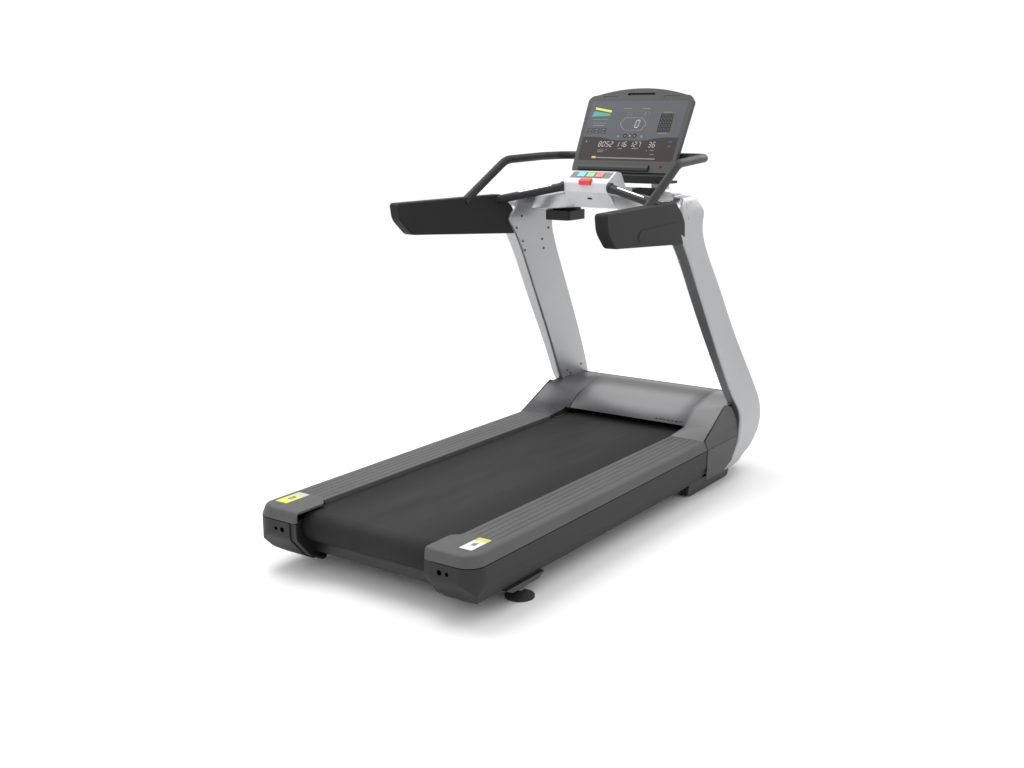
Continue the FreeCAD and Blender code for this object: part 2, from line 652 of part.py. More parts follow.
def make_power_entry():
    """Appliance inlet with its three blades, and the rocker switch beside it."""
    shell = box(inlet_x - 13.8, inlet_x + 13.8, 483, 489.5, inlet_z - 10.3, inlet_z + 10.3)
    flange = box(inlet_x - 19, inlet_x + 19, 489.1, 491.5, inlet_z - 13.5, inlet_z + 13.5)
    cavity = box(inlet_x - 12, inlet_x + 12, 485, 495, inlet_z - 8, inlet_z + 8)
    inlet = shell.fuse(flange).cut(cavity)
    for dx, dz in ((-7, -2), (0, 3), (7, -2)):
        blade = box(inlet_x + dx - 1, inlet_x + dx + 1, 484, 490, inlet_z + dz - 2, inlet_z + dz + 2)
        inlet = inlet.fuse(blade)
    frame = box(switch_x - 14, switch_x + 14, 489.1, 491, inlet_z - 17, inlet_z + 17)
    body = box(switch_x - 10.8, switch_x + 10.8, 483.2, 489.2, inlet_z - 13.8, inlet_z + 13.8)
    pocket = box(switch_x - 8, switch_x + 8, 484.1, 495, inlet_z - 11.6, inlet_z + 11.6)
    pivot_hole = rod_x(switch_x - 9.8, switch_x + 9.8, rocker_y, inlet_z, 1.2 + running_fit)
    bridge = box(inlet_x + 12, switch_x - 9, 489.1, 490.5, inlet_z - 13, inlet_z + 13)
    entry = inlet.fuse([frame.fuse(body).cut(pocket).cut(pivot_hole), bridge.cut(box(
        inlet_x - 12, inlet_x + 12, 485, 495, inlet_z - 8, inlet_z + 8))])
    save("power_entry", entry.removeSplitter())
    rocker = prism_x([(485.5, inlet_z - 4, 1), (488.6, inlet_z - 10), (494.2, inlet_z - 10, 1),
                      (490.8, inlet_z), (491.4, inlet_z + 10, 1), (486.6, inlet_z + 10)],
                     switch_x - 7.5, switch_x + 7.5)
    rocker = rocker.fuse(rod_x(switch_x - 9.5, switch_x + 9.5, rocker_y, inlet_z, 1.2)).removeSplitter()
    save("power_switch", rocker)


def make_belly_pan():
    """Tray below the motor bay, with a slot for the lift crank."""
    tray = box(59 - side_out, side_out - 59, 25, 482, 58, 62)
    tray = tray.cut(box(-16, 16, 225, 320, 50, 70))
    for side in (-1, 1):
        lug_x0 = side * (beam_out + bay_plate / 2) - bay_plate
        tray = tray.cut(box(lug_x0, lug_x0 + 2 * bay_plate, lift_pivot_y - 30, lift_pivot_y + 30, 50, 70))
    save("belly_pan", tray)


def band_volume(distance):
    """Filled cross-section of the front end's sides, `distance` inside the panels' outer skin."""
    band = [(side_out - 6, 20), (side_out + 2, 100, 40), (side_out + 2, seam_z, 4),
            (rail_out + 2, rail_top_z + 1, 20), (rail_out - 14, 345), (200, 345), (200, 20)]
    return prism_y(inset(band, distance), -20, 480)


def make_front_panels():
    """Curved side plates between the rails and the uprights, each on two pegs, with a seam line."""
    outline = [(seam_gap, cover_bottom_z), (seam_gap, rail_top_z - 3), (208, 323, 12), (262, 306, 40),
               (303, 240, 60), (262, 128, 90), (175, cover_bottom_z, 30)]
    panel = prism_x(outline, side_out - 67, side_out + 23).common(band_volume(0)).cut(band_volume(cover_wall))
    for y, z in panel_pegs:
        panel = panel.fuse(rod_x(bay_out, side_out - 3, y, z, 6))
    seam = prism_y([(side_out - 1, seam_z), (side_out + 4, seam_z + 1.6), (side_out + 4, seam_z - 1.6)],
                   -10, 320)
    panel = panel.removeSplitter().cut(seam)
    pieces = sorted(panel.Solids, key=lambda s: s.Volume)
    both_sides("front_panel", pieces[-1])


# ---------------------------------------------------------------- uprights
# Level sections of the right upright, from the foot up: height, rear and front edge,
# then the outer and inner face at the rear edge and at the front edge.
upright_sections = (
    (66, 192, 238, 447, 413, 447, 413),
    (84, 214, 330, 449, 407, 449, 407),
    (110, 246, 402, 450, 405, 450, 405),
    (140, 276, 456, 450, 405, 450, 405),
    (175, 297, 492, 450, 405, 450, 405),
    (215, 309, 513, 449, 405, 449, 405),
    (260, 311, front_reach, 446, 403, 446, 403),
    (300, 289, 507, 442, 400, 441, 399),
    (340, 255, 486, 438, 396, 436, 393),
    (420, 202, 435, 430, 388, 426, 380),
    (600, 89, 317, 420, 372, 403, 356),
    (800, -36, 187, 411, 359, 388, 336),
    (960, -137, 84, 404, 350, 374, 318),
    (1010, -176, 60, 402, 347, 371, 314),
    (1050, -206, 56, 401, 346, 368, 312),
    (1085, -196, 66, 399, 344, 366, 311),
    (1120, -172, 62, 394, 340, 362, 308),
    (1150, -150, 34, 382, 334, 353, 302),
    (1168, -134, -2, 362, 326, 338, 298),
    (upright_top_z, -118, -40, 338, 318, 322, 296))


def level_section(z, y_rear, y_front, out_rear, in_rear, out_front, in_front, distance):
    """Rounded four-sided outline of the upright at one height."""
    corners = [(in_rear, y_rear, upright_corner), (out_rear, y_rear, upright_corner),
               (out_front, y_front, upright_corner), (in_front, y_front, upright_corner)]
    if distance:
        corners = inset(corners, distance)
    return rounded_wire(corners, lambda p: V(p.x, p.y, z))


def upright_volume(distance):
    """Filled upright, `distance` inside its skin."""
    rows = upright_sections
    if distance > 0:
        rows = [row for row in rows if 110 <= row[0] <= 1120]
    wires = [level_section(*row, distance) for row in rows]
    column = Part.makeLoft(wires, True, False, False, 3)
    column.translate(V(spread, 0, 0))
    return column


def make_uprights():
    """Silver columns that lean back, with a bolted cover plate near the top."""
    column = upright_volume(0).cut(upright_volume(upright_wall))
    both_sides("upright", column)


# ---------------------------------------------------------------- crossbar and cup holders
def bar_section(x, rear_low, rear_high, front_high, front_low):
    corners = [rear_low + (8,), rear_high + (8,), front_high + (14,), front_low + (14,)]
    return rounded_wire(corners, lambda p: V(x, p.x, p.y))


def make_crossbar():
    """Two swept arms from the uprights to the control pod, each carrying a cup holder."""
    near = bar_section(bar_outer_x - 16, (-137, 1092), (-105, 1146), (30, 1168), (30, 1104))
    middle = bar_section(205 + spread / 2, (-134, 1102), (-145, 1164), (52, 1180), (44, 1112))
    inner = bar_section(pod_half + seam_gap, (-131, 1114), (-190, 1180), (70, 1188), (56, 1118))
    arm = Part.makeLoft([near, middle, inner], True, False)
    neck = prism_z(cup_outline(0.3), 1000, 1300)
    both_sides("crossbar_arm", arm.cut(neck).cut(upright_volume(-0.5)))


def cup_outline(grow):
    half_x = 52 + grow
    half_y = 42 + grow
    return [(cup_x - half_x, cup_y - half_y, 30), (cup_x + half_x, cup_y - half_y, 30),
            (cup_x + half_x, cup_y + half_y, 30), (cup_x - half_x, cup_y + half_y, 30)]


def make_cup_holders():
    """Black moulded bins that drop through the arms and hang below them."""
    neck = prism_z(cup_outline(0), 1061, 1192)
    lower = prism_z([(cup_x - 60, -139, 14), (cup_x + 56, -139, 26), (cup_x + 56, 6, 30),
                     (cup_x - 60, 6, 30)], 1061, 1098)
    cup = neck.fuse(lower).removeSplitter()
    bore = prism_z(inset(cup_outline(0), 4), 1066, 1300)
    both_sides("cup_holder", cup.cut(bore))


# ---------------------------------------------------------------- control pod


def pad_frame():
    """Angle of the sloping key panel above level."""
    return math.atan2(pad_front[1] - pad_rear[1], pad_front[0] - pad_rear[0])


def on_pad(shape):
    """Turn a shape drawn flat (x, along the slope, out of it) onto the key panel."""
    placed = shape.copy()
    placed.rotate(V(0, 0, 0), V(1, 0, 0), math.degrees(pad_frame()))
    placed.translate(V(0, pad_rear[0], pad_rear[1]))
    return placed


def pod_outline():
    return [(-131, 1116, 4), (-205, 1179, 6), (-209, 1216, 7), (pad_rear[0], pad_rear[1], 2),
            (pad_front[0], pad_front[1], 8), (-104, 1250, 12), (-70, 1196, 10), (62, 1188, 6), (50, 1118, 6)]


def make_pod():
    """Control pod between the arms: housing, key panel, three keys and the stop paddle."""
    housing = prism_x(pod_outline(), -pod_half, pod_half)
    inner = prism_x(inset(pod_outline(), 5), -pod_half + 5, pod_half - 5)
    slope = math.hypot(pad_front[0] - pad_rear[0], pad_front[1] - pad_rear[1])
    recess = on_pad(box(-pod_half + 8, pod_half - 8, 6, slope - 6, -1.5, 10))
    housing = housing.cut(inner).cut(recess)
    pad = on_pad(box(-pod_half + 8.3, pod_half - 8.3, 6.3, slope - 6.3, -1.4, 0))
    for _, x in pod_keys:
        hole = on_pad(box(x - key_half - key_play, x + key_half + key_play,
                          14 - key_play, slope - 14 + key_play, -20, 20))
        pad = pad.cut(hole)
        housing = housing.cut(hole)
    slot = box(-stop_half - key_play, stop_half + key_play, -225,
               stop_back_y + stop_travel + 1, stop_low_z - key_play, 1240)
    housing = housing.cut(slot)
    port = box(-10, 10, -200, -140, 1150, 1158)
    housing = housing.cut(port)
    save("pod_housing", housing)
    save("key_panel", pad)
    for name, x in pod_keys:
        key = on_pad(box(x - key_half, x + key_half, 14, slope - 14, -3, 2.5))
        save(name, key)


def make_stop():
    """Red stop paddle that is pressed forwards into the pod."""
    paddle = prism_x([(-219, stop_low_z, 3), (-219, 1224, 4), (stop_back_y, 1232, 2),
                      (stop_back_y, stop_low_z, 2)], -stop_half, stop_half)
    stem = rod(V(0, stop_back_y - 1, 1213), V(0, stop_back_y + 20, 1213), 4)
    save("stop_button", paddle.fuse(stem).removeSplitter())


def make_pulse_grips():
    """Black grips from the pod to the armrests, with bright contact strips on top."""
    start = V(pod_half + 0.4, -198, 1199)
    end = V(368 + spread, -268, 1140)
    along = (end - start).normalize()
    grip = rod(start - along * 30, end, rail_tube_radius)
    grip = grip.cut(box(-10, pod_half + 0.4, -400, 0, 1000, 1400))
    collar = rod_x(pod_half + 0.4, pod_half + 14, -199, 1198, rail_tube_radius + 3)
    grip = grip.fuse(collar).cut(armrest_solid()).removeSplitter()
    strip_start = start + along * 52
    strip_end = start + along * 190
    lift = V(0, -5.4, 10.8)
    strip = rod(strip_start + lift, strip_end + lift, 5.5)
    contact = strip.cut(rod(start, end, rail_tube_radius + 0.05))
    contact = sorted(contact.Solids, key=lambda s: s.Volume)[-1]
    save("pulse_grips", pair(grip))
    save("pulse_contacts", pair(contact))


# ---------------------------------------------------------------- armrests and handlebar
def armrest_solid():
    """Right armrest: a deep slab whose rear end sweeps down and forward."""
    outline = [(-250, 1161, 8), (-826, 1156, 12), (-815, 1095, 60), (-752, 1038, 42),
               (-152, 1001, 8), (-158, 1082, 25), (-186, 1116, 30)]
    slab = prism_x(outline, -armrest_thickness / 2, armrest_thickness / 2)
    rounded = [e for e in slab.Edges if abs(e.BoundBox.XLength) < 0.01]
    slab = slab.makeFillet(6, rounded)
    slab.translate(V(374 + spread, 0, 0))
    slab.rotate(V(374 + spread, -150, 0), V(0, 0, 1), armrest_toe)
    return slab


def make_armrests():
    rest = armrest_solid()
    rest = rest.cut(upright_volume(-0.4))
    rest = rest.cut(riser_socket())
    pieces = sorted(rest.Solids, key=lambda s: s.Volume)
    both_sides("armrest", pieces[-1])




def handlebar_points():
    return [riser_base, V(379 + spread, -190, 1293), V(352 + spread, 30, 1302), V(326 + spread, 156, 1304)]


def riser_socket():
    points = handlebar_points()
    return rod(points[0] - (points[1] - points[0]) * 0.02, points[1], rail_tube_radius + 0.3)


def make_handlebar():
    """One continuous tube: up from each armrest, forward and round behind the console."""
    right = handlebar_points()
    left = [V(-p.x, p.y, p.z) for p in reversed(right)]
    tube = pipe(right + left, [120, 150, 72, 72, 150, 120], rail_tube_radius)
    save("handlebar", tube)


# ---------------------------------------------------------------- console
def on_console(shape):
    """Lean a shape drawn upright (x, depth, up the face) back with the screen."""
    placed = shape.copy()
    placed.rotate(V(0, 0, 0), V(1, 0, 0), -console_tilt)
    placed.translate(V(0, console_foot_y, console_foot_z))
    return placed


def face_outline(distance):
    """Front view of the console: straight foot, flared sides and an arched top."""
    half = console_half - distance
    foot = console_half - 10 - distance
    low = -24 + distance
    shoulder = 302 - distance
    crown = 345 - distance
    left = V(-half, 0, shoulder - 12)
    right = V(half, 0, shoulder - 12)
    bend_left = V(-half + 34, 0, shoulder + 12)
    bend_right = V(half - 34, 0, shoulder + 12)
    corner_left = V(-half + 9, 0, shoulder + 3)
    corner_right = V(half - 9, 0, shoulder + 3)
    edges = [Part.makeLine(V(-foot + 14, 0, low), V(foot - 14, 0, low)),
             Part.Arc(V(foot - 14, 0, low), V(foot - 4, 0, low + 4), V(foot, 0, low + 14)).toShape(),
             Part.makeLine(V(foot, 0, low + 14), right),
             Part.Arc(right, corner_right, bend_right).toShape(),
             Part.Arc(bend_right, V(0, 0, crown), bend_left).toShape(),
             Part.Arc(bend_left, corner_left, left).toShape(),
             Part.makeLine(left, V(-foot, 0, low + 14)),
             Part.Arc(V(-foot, 0, low + 14), V(-foot + 4, 0, low + 4), V(-foot + 14, 0, low)).toShape()]
    return Part.Wire(edges)


def face_slab(distance, y0, y1):
    face = Part.Face(face_outline(distance))
    slab = face.extrude(V(0, y1 - y0, 0))
    slab.translate(V(0, y0, 0))
    return slab


def glass_outline(grow):
    half = 219 + grow
    return [(-half + 6, 26 - grow, 6), (half - 6, 26 - grow, 6),
            (half, 290 + grow, 8), (-half, 290 + grow, 8)]


def make_console():
    """Bezel, glass, back shell, lower tray and the two posts that carry the console."""
    bezel = face_slab(0, 0, bezel_depth)
    bezel = bezel.cut(prism_y(glass_outline(0.4), -1, glass_thickness))
    bezel = bezel.cut(prism_y(glass_outline(-14), 0, bezel_depth + 1))
    for x, half, z, depth in ((0, 62, 319, 8), (-138, 34, 306, 1.2), (138, 34, 306, 1.2)):
        vent = prism_y([(x - half, z - 5.5, 5.4), (x + half, z - 5.5, 5.4), (x + half, z + 5.5, 5.4),
                        (x - half, z + 5.5, 5.4)], -1, depth)
        bezel = bezel.cut(vent)
    save("console_bezel", on_console(bezel))
    save("display_glass", on_console(prism_y(glass_outline(0), 0, glass_thickness)))
    outer = console_shell_volume(0)
    inner = console_shell_volume(4)
    save("console_back", on_console(outer.cut(inner)))
    tray = prism_x([(34, 1204, 8), (150, 1204, 6), (150, 1214, 4), (101, 1217), (54, 1241), (34, 1236, 4)],
                   -205, 205)
    save("console_tray", tray)
    post = prism_x([(95, 1180), (138, 1180), (138, 1203.5), (95, 1203.5)], 120, 176)
    post = post.cut(prism_x([(90, 1190), (60, 1190), (60, 1170), (90, 1170)], 100, 200))
    save("console_posts", pair(post))


def console_shell_volume(distance):
    """Filled back shell behind the bezel, `distance` inside its skin."""
    near = outline_at(distance, bezel_depth - (1 if distance else 0))
    mid = outline_at(distance + 4, bezel_depth + 9 - distance)
    far = outline_at(distance + 40, bezel_depth + 17 - distance)
    return Part.makeLoft([near, mid, far], True, True)


def outline_at(distance, depth):
    wire = face_outline(distance)
    wire.translate(V(0, depth, 0))
    return wire


# ---------------------------------------------------------------- fasteners
def make_upright_screws():
    """Button-head screws on the inner faces of the uprights, in one group."""
    screws = []
    column = upright_volume(0)
    for y, z in ((-140, 1070), (-166, 1024), (28, 1012), (-118, 967), (-2, 967), (-98, 928), (16, 928),
                 (308, 352), (420, 362), (340, 334)):
        hole = rod(V(200, y, z), V(470, y, z), 4)
        near = min(point.x for point in hole.common(column).tessellate(0.5)[0])
        head = rod(V(near - 1.6, y, z), V(near + 6, y, z), 4.5).cut(column)
        head = sorted(head.Solids, key=lambda s: s.CenterOfMass.x)[0]
        screws.extend([head, mirrored(head)])
    save("upright_screws", Part.makeCompound(screws))


os.makedirs("parts", exist_ok=True)
make_main_frame()
make_rear_cross_member()
make_deck()
make_running_belt()
make_rollers()
make_axles()
make_tension_bolts()
make_drive()
make_controller()
make_lift()
make_feet()
make_side_covers()
make_rail_covers()
make_rear_caps()
make_end_plates()
make_hood()
make_front_cover()
make_power_entry()
make_belly_pan()
make_front_panels()
make_uprights()
make_crossbar()
make_cup_holders()
make_pod()
make_stop()
make_pulse_grips()
make_armrests()
make_handlebar()
make_console()
make_upright_screws()
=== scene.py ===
import math

import bmesh
import bpy
from mathutils import Matrix, Vector


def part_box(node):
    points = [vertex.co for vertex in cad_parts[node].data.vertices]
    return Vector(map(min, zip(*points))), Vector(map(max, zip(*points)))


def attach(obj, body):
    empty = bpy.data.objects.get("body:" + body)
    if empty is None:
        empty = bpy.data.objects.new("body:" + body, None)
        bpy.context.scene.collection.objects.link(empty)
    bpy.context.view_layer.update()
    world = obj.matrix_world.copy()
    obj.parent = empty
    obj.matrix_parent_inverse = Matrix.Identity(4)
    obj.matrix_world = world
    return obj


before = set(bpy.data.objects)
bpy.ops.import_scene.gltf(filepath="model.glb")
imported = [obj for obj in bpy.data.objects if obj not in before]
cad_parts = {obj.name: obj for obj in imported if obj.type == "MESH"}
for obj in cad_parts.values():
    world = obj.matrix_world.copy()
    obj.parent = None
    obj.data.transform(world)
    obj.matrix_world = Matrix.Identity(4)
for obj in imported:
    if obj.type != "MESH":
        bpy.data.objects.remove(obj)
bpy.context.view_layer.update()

# ---- studio ----
# The machine stands on a plain pale floor in a white room. A wide soft lamp hangs above the
# runner's left, and a weaker one behind the machine lifts the hood and the front cover.
camera = bpy.data.objects.new("camera", bpy.data.cameras.new("camera"))
camera.data.lens = 41.22
camera.data.sensor_width = 36
camera.location = (2.334, -3.5513, 1.4514)
camera.rotation_euler = (math.radians(77.248), 0, math.radians(34.74))
bpy.context.scene.collection.objects.link(camera)
bpy.context.scene.camera = camera
bpy.context.scene.view_settings.view_transform = "Standard"

room = bpy.data.worlds.new("white_room")
room.use_nodes = True
room.node_tree.nodes["Background"].inputs["Color"].default_value = (1, 1, 1, 1)
room.node_tree.nodes["Background"].inputs["Strength"].default_value = 1.06
bpy.context.scene.world = room


def hang_lamp(name, place, target, size, power):
    """A square soft lamp at `place` that points at `target`."""
    lamp = bpy.data.objects.new(name, bpy.data.lights.new(name, "AREA"))
    lamp.data.size = size
    lamp.data.energy = power
    lamp.location = place
    lamp.rotation_euler = (Vector(target) - Vector(place)).to_track_quat("-Z", "Y").to_euler()
    bpy.context.scene.collection.objects.link(lamp)


hang_lamp("lamp_above", (-1.6, -0.3, 3.6), (0, 0.2, 0.4), 2.4, 70)
hang_lamp("lamp_behind", (0.6, 3.6, 2.8), (0, 0.4, 0.6), 2.0, 30)


class Value:
    """A socket of a finish. Arithmetic on it adds Math nodes."""

    def __init__(self, finish, socket):
        self.finish = finish
        self.socket = socket

    def math(self, operation, first, second):
        return self.finish.add("Math", {"operation": operation}, {0: first, 1: second})

    def __add__(self, other):
        return self.math("ADD", self, other)

    __radd__ = __add__

    def __sub__(self, other):
        return self.math("SUBTRACT", self, other)

    def __rsub__(self, other):
        return self.math("SUBTRACT", other, self)

    def __mul__(self, other):
        return self.math("MULTIPLY", self, other)

    __rmul__ = __mul__

    def __truediv__(self, other):
        return self.math("DIVIDE", self, other)

    def __pow__(self, other):
        return self.math("POWER", self, other)

    def __gt__(self, other):
        return self.math("GREATER_THAN", self, other)

    def __lt__(self, other):
        return self.math("LESS_THAN", self, other)

    def __abs__(self):
        return self.math("ABSOLUTE", self, 0)


class Finish:
    """A material built round one principled shader."""

    def __init__(self, name, **uniform):
        self.material = bpy.data.materials.new(name)
        self.material.use_nodes = True
        self.shader = self.material.node_tree.nodes["Principled BSDF"]
        self.place = self.add("TexCoord", output="Object")
        for socket, value in uniform.items():
            self.feed(self.shader.inputs[socket.replace("_", " ").title().replace("Ior", "IOR")], value)

    def feed(self, socket, value):
        if isinstance(value, Value):
            self.material.node_tree.links.new(value.socket, socket)
        else:
            socket.default_value = value

    def add(self, kind, settings=(), inputs=(), output=0):
        """Any other node: its settings first, then the values or links of its sockets."""
        node = self.material.node_tree.nodes.new("ShaderNode" + kind)
        for name, value in dict(settings).items():
            if name == "stops":
                while len(node.color_ramp.elements) < len(value):
                    node.color_ramp.elements.new(1)
                for element, (position, colour) in zip(node.color_ramp.elements, value):
                    element.position = position
                    element.color = colour
            else:
                setattr(node, name, value)
        for name, value in dict(inputs).items():
            self.feed(node.inputs[name], value)
        return Value(self, node.outputs[output])

    def moved(self, scale=(1, 1, 1), location=(0, 0, 0), rotation=(0, 0, 0)):
        """Object coordinates in a frame that is turned, shifted and stretched."""
        inputs = {"Vector": self.place, "Location": location, "Rotation": rotation}
        turned = self.add("Mapping", {"vector_type": "TEXTURE"}, inputs)
        return self.add("VectorMath", {"operation": "MULTIPLY"}, {0: turned, 1: scale})

    def noise(self, scale, detail=3, place=None):
        inputs = {"Vector": place or self.place, "Scale": scale, "Detail": detail}
        return self.add("TexNoise", {}, inputs)

    def cells(self, scale, place=None):
        return self.add("TexVoronoi", {}, {"Vector": place or self.place, "Scale": scale})

    def axes(self, place=None):
        """The X, Y and Z of a place, as three values."""
        split = self.add("SeparateXYZ", {}, {0: place or self.place}).socket.node
        return [Value(self, output) for output in split.outputs]

    def step(self, value, low, high):
        """0 below `low`, 1 above `high` and smooth between."""
        settings = {"interpolation_type": "SMOOTHSTEP"}
        return self.add("MapRange", settings, {"Value": value, "From Min": low, "From Max": high})

    def blend(self, factor, first, second):
        """Colour `first` where the factor is 0 and `second` where it is 1."""
        colours = [tuple(c) + (1,) if isinstance(c, tuple) else c for c in (first, second)]
        return self.add("Mix", {"data_type": "RGBA"}, {0: factor, 6: colours[0], 7: colours[1]}, 2)

    def colour(self, value):
        self.feed(self.shader.inputs["Base Color"], value)

    def roughness(self, value):
        self.feed(self.shader.inputs["Roughness"], value)

    def bump(self, height, depth):
        bump = self.add("Bump", {}, {"Height": height, "Distance": depth, "Strength": 1.0})
        if self.shader.inputs["Normal"].links:
            before = Value(self, self.shader.inputs["Normal"].links[0].from_socket)
            self.feed(bump.socket.node.inputs["Normal"], before)
        self.feed(self.shader.inputs["Normal"], bump)


def tint(colour, share):
    return tuple(min(1.0, c * share) for c in colour)


def dress(finish, *names):
    """Give the nodes of the frame their finish."""
    for name in names:
        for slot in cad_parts[name].material_slots:
            slot.material = finish.material


def sides(name):
    return name + "_left", name + "_right"


def add_piece(name, mesh, finishes, body="base"):
    """Turn a bmesh into a piece that rides on a body."""
    data = bpy.data.meshes.new(name)
    mesh.to_mesh(data)
    mesh.free()
    piece = bpy.data.objects.new(name, data)
    bpy.context.scene.collection.objects.link(piece)
    for finish in finishes:
        data.materials.append(finish.material)
    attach(piece, body)
    return piece


def round_plate(width, height, thick, corner, edge=0.0):
    """A slab lying in XY from z = 0, with round corners and an eased top rim."""
    mesh = bmesh.new()
    size = Matrix.Diagonal((width, height, thick, 1))
    bmesh.ops.create_cube(mesh, size=1, matrix=Matrix.Translation((0, 0, thick / 2)) @ size)
    tall = [e for e in mesh.edges if abs(e.verts[0].co.z - e.verts[1].co.z) > thick / 2]
    bmesh.ops.bevel(mesh, geom=tall, offset=corner, segments=6, profile=0.5, affect="EDGES", material=-1)
    if edge:
        rim = [e for e in mesh.edges if min(v.co.z for v in e.verts) > thick * 0.9]
        bmesh.ops.bevel(mesh, geom=rim, offset=edge, segments=2, profile=0.5, affect="EDGES", material=-1)
    return mesh


def put(mesh, matrix):
    bmesh.ops.transform(mesh, matrix=matrix, verts=mesh.verts)
    return mesh


def moulded(name, colour, rough, grain=900, depth=0.00005, **uniform):
    """Injection-moulded plastic: a fine spark-eroded grain, slight flow marks and handling marks."""
    finish = Finish(name, **uniform)
    flow = finish.noise(5, 3)
    speck = finish.noise(420, 2)
    finish.colour(finish.blend(flow * 0.6 + speck * 0.4, tint(colour, 0.80), tint(colour, 1.18)))
    finish.roughness(rough - 0.09 + flow * 0.1 + speck * 0.08)
    finish.bump(finish.cells(grain), depth)
    return finish


# ---- rail covers and rear caps ----
# The foot rails are mid-grey moulded covers with ribs, and each ends in a plain cap at the
# rear. Shoes polish the grain a little in streaks along the rail, and the top face is coloured a little
# lighter than the sides.
rail_grey = (0.082, 0.082, 0.084)
rail_finish = Finish("rail_cover_grey", specular_ior_level=0.3)
worn = rail_finish.noise(3, 4, rail_finish.moved(scale=(6, 1, 1)))
speck = rail_finish.noise(380, 2)
# The top face is made a little lighter than the sides.
top_face = rail_finish.step(rail_finish.axes()[2], 0.214, 0.2195)
patch = worn * 0.5 + speck * 0.3 + top_face * 0.2
rail_finish.colour(rail_finish.blend(patch, tint(rail_grey, 0.74), tint(rail_grey, 1.28)))
rail_finish.roughness(0.62 - worn * 0.16 + speck * 0.06)
rail_finish.bump(rail_finish.cells(800), 0.00006)
dress(rail_finish, *sides("rail_cover"), *sides("rear_cap"))

label_thick = 0.0004
for side, x, y, width, length, body_colour, end_colour in (
        ("right", 0.372, -0.912, 0.046, 0.103, (0.80, 0.80, 0.78), (0.62, 0.66, 0.04)),
        ("left", -0.387, -0.908, 0.050, 0.110, (0.72, 0.70, 0.02), (0.55, 0.55, 0.42))):
    label = Finish("rail_label_" + side, roughness=0.35, coat_weight=0.3)
    along = label.axes()[1]
    rub = label.noise(45, 4)
    band = along > y + length * 0.22
    field = label.blend(band, body_colour, end_colour)
    symbol = (abs(label.axes()[0] - x) < width * 0.16) * (abs(along - y) < length * 0.16)
    marked = label.blend(symbol * (rub > 0.47), field, (0.10, 0.10, 0.10))
    label.colour(label.blend(rub * 0.25, marked, (0.25, 0.25, 0.22)))
    label.bump(rub, 0.0001)
    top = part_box("rear_cap_" + side)[1].z
    plate = put(round_plate(width, length, label_thick, 0.003), Matrix.Translation((x, y, top)))
    add_piece("rail_label_" + side, plate, [label])


# ---- side covers ----
# Long charcoal covers close the sides of the deck. They are moulded with a coarser grain than
# the rails, and the floor's dust dulls their lower edge.
side_charcoal = (0.023, 0.023, 0.024)
side_finish = Finish("side_cover_charcoal", specular_ior_level=0.25)
dust = side_finish.noise(9, 4)
low = 1 - side_finish.step(side_finish.axes()[2], 0.065, 0.15)
shade = side_finish.blend(dust, tint(side_charcoal, 0.78), tint(side_charcoal, 1.2))
side_finish.colour(side_finish.blend(low * dust * 0.35, shade, (0.06, 0.06, 0.058)))
side_finish.roughness(0.5 + dust * 0.1 + low * 0.1)
side_finish.bump(side_finish.cells(620), 0.00008)
dress(side_finish, *sides("side_cover"))

end_finish = moulded("end_plate_black", (0.012, 0.012, 0.013), 0.5, 700, specular_ior_level=0.4)
dress(end_finish, "end_plates", "belly_pan")


# ---- running belt and deck ----
# The belt is a two-ply PVC belt with a pebbled top. Its middle is polished by feet, and the
# weave of the lower ply shows through as a faint cross pattern.
belt_finish = Finish("running_belt_pvc", specular_ior_level=0.2)
x, y, z = belt_finish.axes()
lane = 1 - belt_finish.step(abs(x), 0.08, 0.25)
smear = belt_finish.noise(2.5, 5, belt_finish.moved(scale=(5, 1, 1)))
pebble = belt_finish.cells(520)
weave = belt_finish.add("TexWave", {"wave_type": "BANDS", "bands_direction": "DIAGONAL"},
                        {"Vector": belt_finish.place, "Scale": 110, "Distortion": 0.6})
mottle = smear * 0.5 + pebble * 0.3 + lane * 0.2
belt_finish.colour(belt_finish.blend(mottle, (0.011, 0.011, 0.0115), (0.021, 0.021, 0.022)))
belt_finish.roughness(0.74 - lane * smear * 0.2)
belt_finish.bump(pebble + weave * 0.3, 0.00018)
dress(belt_finish, "running_belt")

board = Finish("deck_board_phenolic", roughness=0.35)
grain = board.noise(14, 5, board.moved(scale=(8, 0.6, 8)))
ply = board.add("TexWave", {"bands_direction": "Z"}, {"Vector": board.place, "Scale": 90, "Distortion": 1.5})
board.colour(board.blend(grain * 0.6 + ply * 0.4, (0.10, 0.055, 0.028), (0.30, 0.19, 0.11)))
board.bump(grain, 0.0002)
dress(board, "deck_board")

rubber = moulded("rubber_black", (0.014, 0.014, 0.014), 0.8, 500, 0.0001, specular_ior_level=0.3)
dress(rubber, "deck_cushions", "drive_belt", *sides("lift_wheel"))


# ---- steelwork ----
# Welded tube and plate, powder-coated black with a slight orange peel, and the bright turned
# parts that run in it: rollers, axles, screws and the motor's rotor.
powder = Finish("powder_coat_black", specular_ior_level=0.5)
peel = powder.noise(320, 3)
scuff = powder.noise(22, 5)
powder.colour(powder.blend(scuff, (0.012, 0.012, 0.013), (0.034, 0.034, 0.036)))
powder.roughness(0.38 + scuff * 0.22)
powder.bump(peel, 0.0002)
dress(powder, "main_frame", "rear_cross_member", "foot_brackets", "lift_frame", "lift_actuator")


def turned_steel(name, colour, rough, metallic=1.0):
    """Turned or drawn steel: fine rings round X, and a thin film of oil in patches."""
    finish = Finish(name, metallic=metallic)
    rings = finish.noise(60, 4, finish.moved(scale=(25, 1, 1)))
    oil = finish.noise(18, 3)
    finish.colour(finish.blend(rings * 0.5 + oil * 0.5, tint(colour, 0.7), tint(colour, 1.15)))
    finish.roughness(rough - 0.06 + rings * 0.16)
    finish.bump(rings, 0.00003)
    return finish


